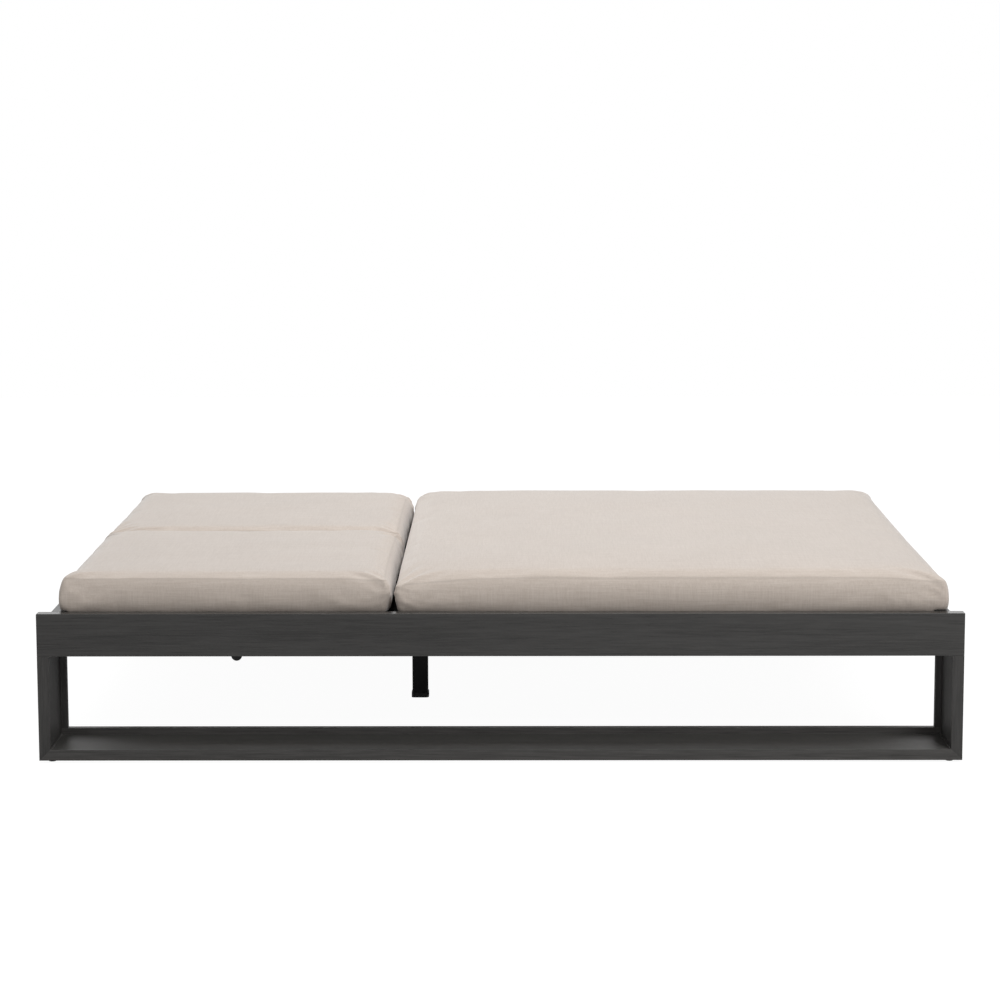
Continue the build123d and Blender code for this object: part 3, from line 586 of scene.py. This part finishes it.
def taupe_cloth():
    """Cushion cloth: a coarse weave for slubs and a fine one for yarns set the tone
    between dark and light, faint broad clouds shade it, seams are a little darker, and
    the foot of the band is darkened by a painted contact shadow where it sits on the frame."""
    material, tree, surface, place = new_material("taupe_cloth", roughness=0.9, specular=0.2)
    surface.inputs["Sheen Weight"].default_value = 0.7
    surface.inputs["Sheen Roughness"].default_value = 0.45
    slubs = use_group(tree, slub_weave)
    fine = use_group(tree, slub_weave, {"Along": yarn_along, "Across": yarn_across})
    both = step(tree, "ShaderNodeMix", {"Factor": 0.4}, data_type="FLOAT")
    tone = step(tree, "ShaderNodeMix", {6: cloth_dark, 7: cloth_light}, data_type="RGBA")
    clouds = step(tree, "ShaderNodeTexNoise", {"Scale": 4.5, "Detail": 3.0})
    shade = step(tree, "ShaderNodeMapRange",
                 {"From Min": 0.3, "From Max": 0.7, "To Min": 0.975, "To Max": 1.015})
    seam = step(tree, "ShaderNodeAttribute", attribute_name="seam")
    seam_shade = step(tree, "ShaderNodeMapRange",
                      {"From Min": 0.0, "From Max": 1.0, "To Min": 1.0,
                       "To Max": seam_tone})
    # Painted contact shadow: darkens the band towards its bottom seam.
    painted_contact_shadow = step(tree, "ShaderNodeAttribute", attribute_name="painted_contact_shadow")
    contact_shadow_level = step(tree, "ShaderNodeMapRange",
                         {"From Min": 0.0, "From Max": 1.0, "To Min": 1.0,
                          "To Max": contact_shadow_tone})
    seam_and_contact_shadow = step(tree, "ShaderNodeMath", operation="MULTIPLY")
    shades = step(tree, "ShaderNodeMath", operation="MULTIPLY")
    shaded = step(tree, "ShaderNodeVectorMath", operation="SCALE")
    for weave in (slubs, fine):
        join(tree, place.outputs["Object"], weave.inputs["Vector"])
        join(tree, place.outputs["Normal"], weave.inputs["Normal"])
    join(tree, slubs.outputs["Yarn"], both.inputs[2])
    join(tree, fine.outputs["Yarn"], both.inputs[3])
    join(tree, both.outputs[0], tone.inputs["Factor"])
    join(tree, place.outputs["Object"], clouds.inputs["Vector"])
    join(tree, clouds.outputs["Fac"], shade.inputs["Value"])
    join(tree, seam.outputs["Fac"], seam_shade.inputs["Value"])
    join(tree, painted_contact_shadow.outputs["Fac"], contact_shadow_level.inputs["Value"])
    join(tree, seam_shade.outputs["Result"], seam_and_contact_shadow.inputs[0])
    join(tree, contact_shadow_level.outputs["Result"], seam_and_contact_shadow.inputs[1])
    join(tree, shade.outputs["Result"], shades.inputs[0])
    join(tree, seam_and_contact_shadow.outputs[0], shades.inputs[1])
    join(tree, tone.outputs[2], shaded.inputs[0])
    join(tree, shades.outputs[0], shaded.inputs["Scale"])
    join(tree, shaded.outputs["Vector"], surface.inputs["Base Color"])
    bump(tree, both.outputs[0], surface, strength=0.35, distance=0.0005)
    return material


cushion_cloth = taupe_cloth()

# The cushions' form: the band's height, swell, tucks and shoulder, the crown of the top,
# the lift over a cross rail, how the cloth is held and limited while it settles, and its
# waves, folds, ripples and seams. The curves are powers.
line_crowding = 0.72
band_height = 0.076
corner_round = 0.016
tuck_rim = 0.05
band_tuck = 0.007
band_curve = 2.2
foot_tuck = 0.002
foot_curve = 9
tuck_fade = (0.25, 0.75)
band_shoulder = 0.012
shoulder_start = 0.30
shoulder_curve = 3.4
cloth_swell = 0.0025
swell_reach = 0.08
crown_start = 0.011
crown_reach = 0.34
crown_curve = 2.4
rail_gap = 0.0006
rail_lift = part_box("foot_cross_rail")[1][2] + rail_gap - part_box("seat_cushion")[0][2]
rail_lift_from = 0.950
rail_lift_to = 0.9565
end_proud = 0.003
settle_frames = 20
seam_hold = 0.25
post_hold = 0.6
post_reach = 0.014
cloth_cap = 0.006
soft_limit = 0.002
box_gap = 0.00015
wave_count = 5
wave_lengths = (0.16, 0.42)
wave_fade = 0.05
wave_size = 0.0012
fold_pitch = 0.0165
fold_lean = 0.06
fold_fade = 0.026
ripple_pitch = 0.021
ripple_fade = 0.028
ripple_share = 0.6
seam_crease = 0.0002
seam_dip = 0.0001
# The power by which the painted contact shadow fades up the band.
contact_shadow_curve = 7


def close_lines(low, high, count):
    """Places from low to high that stand closer near both ends: even steps less a sine."""
    even = np.linspace(0.0, 1.0, count)
    sway = np.sin(2 * np.pi * even) / (2 * np.pi)
    return low + (high - low) * (even - line_crowding * sway)


def box_skin(x_lines, y_lines, z_lines):
    """The closed skin of a box as a grid: its points, and quads that face outwards."""
    counts = (len(x_lines), len(y_lines), len(z_lines))
    skin = np.zeros(counts, bool)
    skin[[0, -1]] = True
    skin[:, [0, -1]] = True
    skin[:, :, [0, -1]] = True
    number = np.full(counts, -1)
    number[skin] = np.arange(skin.sum())
    grid = np.stack(np.meshgrid(x_lines, y_lines, z_lines, indexing="ij"), axis=3)

    def quads(face, flip):
        corners = np.stack([face[:-1, :-1], face[1:, :-1], face[1:, 1:], face[:-1, 1:]],
                           axis=2).reshape(-1, 4)
        return corners[:, ::-1] if flip else corners

    faces = np.concatenate([
        quads(number[:, :, 0], True), quads(number[:, :, -1], False),
        quads(number[0], True), quads(number[-1], False),
        quads(number[:, 0], False), quads(number[:, -1], True)])
    return grid[skin], faces


def easing(value, start, end):
    """Nought before start and one after end, with a smooth cubic step between them."""
    share = np.clip((value - start) / (end - start), 0.0, 1.0)
    return share * share * (3 - 2 * share)


def crown_rise(depth, quick, slow):
    """Rise of the top at the depths in from both edges, which are first joined into one:
    their product over their length. The quick rise is gained over the first few
    centimetres as one less an exponential, the slow one on a curve that is full at the
    crown's reach."""
    inward = depth[:, 0] * depth[:, 1] / np.maximum(np.hypot(depth[:, 0], depth[:, 1]), 1e-9)
    start = 1.0 - np.exp(-inward / crown_start)
    rest = 1.0 - (1.0 - np.clip(inward / crown_reach, 0.0, 1.0)) ** crown_curve
    return quick * start + slow * rest


def cushion_form(low, high, crown, counts, rail_end, corners):
    """A boxed cushion on a box's grid. In plan its corners are rounded and its sides start
    a little further in between them, where the cloth swells most. The band is fullest at
    mid height, leans in towards the top seam and tucks under at the bottom one. The top
    rises by the crown times its share at the distance from each edge. At the rail end, -1
    for the head and 1 for the foot, the bottom lifts over a cross rail. Each entry of
    corners holds x, y, tuck, shoulder, drop and fade: it adds a tuck of the lower half, a
    shoulder lean and a drop, which shrink on a bell curve of the distance from that corner
    over the fade. Without x or y it works along a whole side or end."""
    x_lines = close_lines(low[0], high[0], counts[0])
    y_lines = close_lines(low[1], high[1], counts[1])
    points, quads = box_skin(x_lines, y_lines, np.linspace(0.0, 1.0, counts[2]))
    height = points[:, 2]
    middle = (low[:2] + high[:2]) / 2
    half = (high[:2] - low[:2]) / 2
    plan = points[:, :2] - middle
    depth = half - np.abs(plan)

    core = np.clip(plan, -(half - corner_round), half - corner_round)
    spoke = plan - core
    reach = np.linalg.norm(spoke, axis=1)
    longest = np.abs(spoke).max(axis=1)
    plan = core + spoke * np.where(reach > 0, longest / np.maximum(reach, 1e-9), 1.0)[:, None]

    tuck, shoulder, drop = 0.0, band_shoulder, 0.0
    for x, y, more_tuck, more_shoulder, more_drop, fade in corners:
        away_x = 0.0 if x is None else points[:, 0] - x
        away_y = 0.0 if y is None else points[:, 1] - y
        near = np.exp(-(np.hypot(away_x, away_y) / fade) ** 2)
        tuck = tuck + more_tuck * near
        shoulder = shoulder + more_shoulder * near
        drop = drop + more_drop * near
    lean = (plan - np.clip(plan, -(half - tuck_rim), half - tuck_rim)) / tuck_rim
    lean /= np.maximum(np.linalg.norm(lean, axis=1), 1.0)[:, None]
    between = 1 - np.exp(-np.hypot(depth[:, 0], depth[:, 1]) / swell_reach)
    upper = np.clip((height - shoulder_start) / (1 - shoulder_start), 0.0, 1.0)
    inset = (cloth_swell * between + band_tuck * (1 - height) ** band_curve
             + foot_tuck * (1 - height) ** foot_curve
             + tuck * (1 - easing(height, *tuck_fade)) + shoulder * upper ** shoulder_curve)
    plan = plan - lean * inset[:, None]

    bottom = low[2] + rail_lift * easing(points[:, 0] * rail_end, rail_lift_from, rail_lift_to)
    top = height > 0.999
    seam_z = low[2] + band_height
    level = bottom + height * (seam_z - bottom) + top * crown_rise(depth, *crown)
    level = level - drop * height ** 2
    return np.column_stack([plan + middle, level]), quads, height, depth, bottom


def soft_waves(points, depth, seed):
    """Shallow waves of the foam: a few sines in random directions, faded at the edges."""
    rng = np.random.default_rng(seed)
    turns = rng.uniform(0, np.pi, wave_count)
    lengths = rng.uniform(*wave_lengths, wave_count)
    phases = rng.uniform(0, 2 * np.pi, wave_count)
    total = np.zeros(len(points))
    for turn, length, phase in zip(turns, lengths, phases):
        way = points[:, 0] * np.cos(turn) + points[:, 1] * np.sin(turn)
        total += np.sin(2 * np.pi * way / length + phase)
    fade = np.prod(1 - np.exp(-np.clip(depth, 0, None) / wave_fade), axis=1)
    return wave_size * total / wave_count * fade


def settle(piece, under, posts, seams):
    """Cloth simulation: the cover, held at its bottom and loosely at its corners and its
    top seam, fills out under pressure with gravity off for a few frames. A point's move is
    then cut softly to the cap, as the cap times the hyperbolic tangent of the move over
    it."""
    start = np.empty(len(piece.data.vertices) * 3)
    piece.data.vertices.foreach_get("co", start)
    start = start.reshape(-1, 3)
    pins = piece.vertex_groups.new(name="held")
    for group, hold in ((seams, seam_hold), (posts, post_hold), (under, 1.0)):
        pins.add(np.flatnonzero(group).tolist(), hold, "REPLACE")
    cloth = piece.modifiers.new("settle", "CLOTH")
    for setting, value in (("quality", 5), ("mass", 0.3), ("tension_stiffness", 30.0),
                           ("compression_stiffness", 30.0), ("shear_stiffness", 12.0),
                           ("bending_stiffness", 3.0), ("tension_damping", 12.0),
                           ("shrink_min", -0.006), ("use_pressure", True),
                           ("uniform_pressure_force", 4.0), ("vertex_group_mass", "held")):
        setattr(cloth.settings, setting, value)
    cloth.settings.effector_weights.gravity = 0.0
    cloth.collision_settings.use_collision = False
    cloth.point_cache.frame_start = 1
    cloth.point_cache.frame_end = settle_frames
    for moment in range(1, settle_frames + 1):
        bpy.context.scene.frame_set(moment)
    settled = piece.evaluated_get(bpy.context.evaluated_depsgraph_get()).to_mesh()
    end = np.empty(len(start) * 3)
    settled.vertices.foreach_get("co", end)
    piece.modifiers.remove(cloth)
    piece.vertex_groups.remove(pins)
    bpy.context.scene.frame_set(1)
    move = end.reshape(-1, 3) - start
    far = np.maximum(np.linalg.norm(move, axis=1), 1e-9)
    return start + move * (cloth_cap * np.tanh(far / cloth_cap) / far)[:, None]


def cushion(name, body, node, crown, counts, seed, rail_end, corners, puckers):
    """A finished cushion: its form is settled, kept inside its box, or a little proud of
    it over the cross rail, by a soft limit, then waves, puckers and seam creases are
    added, and one subdivision smooths it. A pucker's folds run up the band and its ripples
    over the top, both as sines that fade with the distance from the pucker."""
    low, high = (np.array(corner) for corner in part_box(node))
    rail_side = high if rail_end > 0 else low
    rail_side[0] += rail_end * end_proud
    shape, quads, height, depth, bottom = cushion_form(low, high, crown, counts, rail_end,
                                                       corners)
    piece = mesh_piece(name, shape, quads, cushion_cloth)
    edge = depth.min(axis=1) < 1e-6
    top = height > 0.999
    under = height < 0.001
    posts = edge & (np.hypot(depth[:, 0], depth[:, 1]) < post_reach)
    settled = settle(piece, under, posts, edge & top)

    middle = (low[:2] + high[:2]) / 2
    limit = (high[:2] - low[:2]) / 2 - box_gap
    outward = settled[:, :2] - middle
    over = np.maximum(np.abs(outward) - (limit - soft_limit), 0.0)
    outward -= np.sign(outward) * (over - soft_limit * np.tanh(over / soft_limit))
    settled[:, :2] = middle + outward
    settled[:, 2] = np.maximum(settled[:, 2], bottom)

    settled[:, 2] += soft_waves(settled, depth, seed) * top
    side = shape[:, :2] - middle
    on_end = depth[:, 0] < 1e-6
    way = np.where(on_end[:, None], np.column_stack([np.sign(side[:, 0]), 0 * height]),
                   np.column_stack([0 * height, np.sign(side[:, 1])]))
    band = edge & ~top & ~under
    for x, y, size in puckers:
        gap = np.hypot(shape[:, 0] - x, shape[:, 1] - y)
        fold_turns = shape[:, 2] / fold_pitch + gap / fold_lean + seed
        fold = 0.5 + 0.5 * np.sin(2 * np.pi * fold_turns)
        settled[:, :2] -= way * (band * size * fold * np.exp(-gap / fold_fade))[:, None]
        ripple = 0.5 + 0.5 * np.sin(2 * np.pi * gap / ripple_pitch + seed)
        settled[:, 2] -= top * size * ripple_share * ripple * np.exp(-gap / ripple_fade)
    crease = edge & (top | under)
    settled[:, :2] -= way * (crease * seam_crease)[:, None]
    settled[:, 2] -= (edge & top) * seam_dip
    piece.data.vertices.foreach_set("co", settled.ravel())
    # The seam mark darkens the seams; the contact shadow mark paints shade on the band,
    # strongest at its bottom seam.
    marks = {"seam": crease.astype(float), "painted_contact_shadow": (1 - height) ** contact_shadow_curve * edge}
    for mark, values in marks.items():
        piece.data.attributes.new(mark, "FLOAT", "POINT").data.foreach_set("value", values)
    smooth = piece.modifiers.new("smooth", "SUBSURF")
    smooth.levels = 1
    smooth.render_levels = 1
    piece.data.update()
    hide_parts(node)
    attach(piece, body)


seat_low, seat_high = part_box("seat_cushion")
cushion("seat_cushion_cover", "base", "seat_cushion", crown=(0.0065, 0.014),
        counts=(84, 88, 17), seed=3, rail_end=1,
        corners=[(seat_low[0], None, -0.002, -0.009, 0.0, 0.030),
                 (seat_low[0], seat_low[1], 0.0065, 0.003, 0.0, 0.035),
                 (seat_low[0], seat_low[1], 0.0, 0.0, 0.013, 0.130),
                 (seat_low[0], seat_high[1], -0.003, 0.012, 0.004, 0.055),
                 (seat_high[0], seat_low[1], -0.006, -0.006, 0.006, 0.090),
                 (seat_high[0], seat_high[1], -0.006, 0.004, 0.0, 0.070)],
        puckers=[(seat_low[0], seat_low[1], 0.0030), (seat_low[0], seat_high[1], 0.0025)])
# For each back, the tuck, shoulder and drop of its outer corners by the seat and the head.
back_corners = {"front": [(0.0145, 0.0, 0.0), (-0.006, -0.004, -0.003)],
                "rear": [(-0.0035, 0.002, 0.002), (-0.003, 0.005, 0.0)]}
for side, order, seed in (("front", 1, 11), ("rear", -1, 23)):
    back_low, back_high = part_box(side + "_back_cushion")
    outer_y, inner_y = (back_low[1], back_high[1])[::order]
    by_seat, by_head = back_corners[side]
    cushion(side + "_back_cushion_cover", side + "_back_pad", side + "_back_cushion",
            crown=(0.005, 0.0035), counts=(60, 56, 17), seed=seed, rail_end=-1,
            corners=[(back_low[0], None, 0.0, 0.003, 0.0, 0.030),
                     (back_high[0], None, -0.002, 0.001, 0.0, 0.030),
                     (None, inner_y, 0.0, -0.007, -0.0025, 0.022),
                     (back_high[0], outer_y, 0.0, 0.0, 0.003, 0.060),
                     (back_high[0], outer_y, *by_seat, 0.036),
                     (back_high[0], inner_y, 0.003, 0.008, 0.005, 0.050),
                     (back_low[0], outer_y, *by_head, 0.070),
                     (back_low[0], inner_y, 0.0, 0.009, 0.0045, 0.045)],
            puckers=[(back_high[0], outer_y, 0.0030), (back_high[0], inner_y, 0.0020)])


# The floor and the studio light
# A pale floor that the camera sees as white under a faint shadow, a white surround for
# the camera and for reflections, soft light from all round, a large lamp overhead, a
# smaller one in front and a low strip behind that glances off the lower planks.
surround_strength = 0.37
backdrop_strength = 1.0
floor_size = 14.0
floor_color = (0.8, 0.8, 0.8, 1.0)
floor_glow_in_gloss = 0.05
floor_paint_in_gloss = 0.85
floor_glow_to_camera = 0.96
floor_paint_to_camera = 0.14


def seen_in_gloss(tree, path):
    """One for rays off gloss or through glass, and zero for others."""
    either = step(tree, "ShaderNodeMath", operation="MAXIMUM")
    join(tree, path.outputs["Is Glossy Ray"], either.inputs[0])
    join(tree, path.outputs["Is Transmission Ray"], either.inputs[1])
    return either.outputs[0]


world = bpy.data.worlds.new("studio")
bpy.context.scene.world = world
world.use_nodes = True
world_tree = world.node_tree
world_tree.nodes.clear()
surround = step(world_tree, "ShaderNodeBackground", {"Color": (1.0, 1.0, 1.0, 1.0),
                                                     "Strength": surround_strength})
backdrop = step(world_tree, "ShaderNodeBackground", {"Color": (1.0, 1.0, 1.0, 1.0),
                                                     "Strength": backdrop_strength})
world_mix = step(world_tree, "ShaderNodeMixShader")
world_end = step(world_tree, "ShaderNodeOutputWorld")
world_path = step(world_tree, "ShaderNodeLightPath")
world_seen = step(world_tree, "ShaderNodeMath", operation="MAXIMUM")
join(world_tree, world_path.outputs["Is Camera Ray"], world_seen.inputs[0])
join(world_tree, seen_in_gloss(world_tree, world_path), world_seen.inputs[1])
join(world_tree, world_seen.outputs[0], world_mix.inputs[0])
join(world_tree, surround.outputs[0], world_mix.inputs[1])
join(world_tree, backdrop.outputs[0], world_mix.inputs[2])
join(world_tree, world_mix.outputs[0], world_end.inputs["Surface"])

floor_points = np.array([[-1, -1, 0], [1, -1, 0], [1, 1, 0], [-1, 1, 0]]) * floor_size / 2.0
floor_paint = bpy.data.materials.new("pale_floor")
floor_paint.use_nodes = True
floor_tree = floor_paint.node_tree
floor_tree.nodes.clear()
floor_lit = step(floor_tree, "ShaderNodeBsdfDiffuse", {"Color": floor_color})
floor_path = step(floor_tree, "ShaderNodeLightPath")
floor_end = step(floor_tree, "ShaderNodeOutputMaterial")
floor_now = floor_lit
for mask, glow, paint in (
        (seen_in_gloss(floor_tree, floor_path), floor_glow_in_gloss, floor_paint_in_gloss),
        (floor_path.outputs["Is Camera Ray"], floor_glow_to_camera, floor_paint_to_camera)):
    glowing = step(floor_tree, "ShaderNodeEmission", {"Strength": glow})
    painted = step(floor_tree, "ShaderNodeBsdfDiffuse", {"Color": (paint, paint, paint, 1.0)})
    together = step(floor_tree, "ShaderNodeAddShader")
    chosen = step(floor_tree, "ShaderNodeMixShader")
    join(floor_tree, glowing.outputs[0], together.inputs[0])
    join(floor_tree, painted.outputs[0], together.inputs[1])
    join(floor_tree, mask, chosen.inputs[0])
    join(floor_tree, floor_now.outputs[0], chosen.inputs[1])
    join(floor_tree, together.outputs[0], chosen.inputs[2])
    floor_now = chosen
join(floor_tree, floor_now.outputs[0], floor_end.inputs["Surface"])
floor = mesh_piece("pale_floor", floor_points, np.array([[0, 1, 2, 3]]), floor_paint,
                   smooth=False)


def soft_lamp(name, place, target, width, height, power):
    """A soft lamp, width by height, with a power in watts, that looks at the target."""
    lamp_data = bpy.data.lights.new(name, "AREA")
    lamp_data.shape = "RECTANGLE"
    lamp_data.size = width
    lamp_data.size_y = height
    lamp_data.energy = power
    lamp = bpy.data.objects.new(name, lamp_data)
    lamp.location = place
    aim = Vector(target) - Vector(place)
    lamp.rotation_euler = aim.to_track_quat("-Z", "Y").to_euler()
    bpy.context.scene.collection.objects.link(lamp)


soft_lamp("overhead_lamp", place=(0.3, 0.6, 3.6), target=(0.0, 0.1, 0.3),
          width=3.2, height=3.2, power=91.0)
soft_lamp("front_lamp", place=(2.7, -3.9, 2.9), target=(0.1, -0.6, 0.1),
          width=1.8, height=1.8, power=74.0)
soft_lamp("low_rear_lamp", place=(0.0, 3.5, 0.62), target=(0.0, -0.6, 0.1),
          width=4.0, height=0.9, power=9.0)


# Colours are shown as written.
bpy.context.scene.view_settings.view_transform = "Standard"
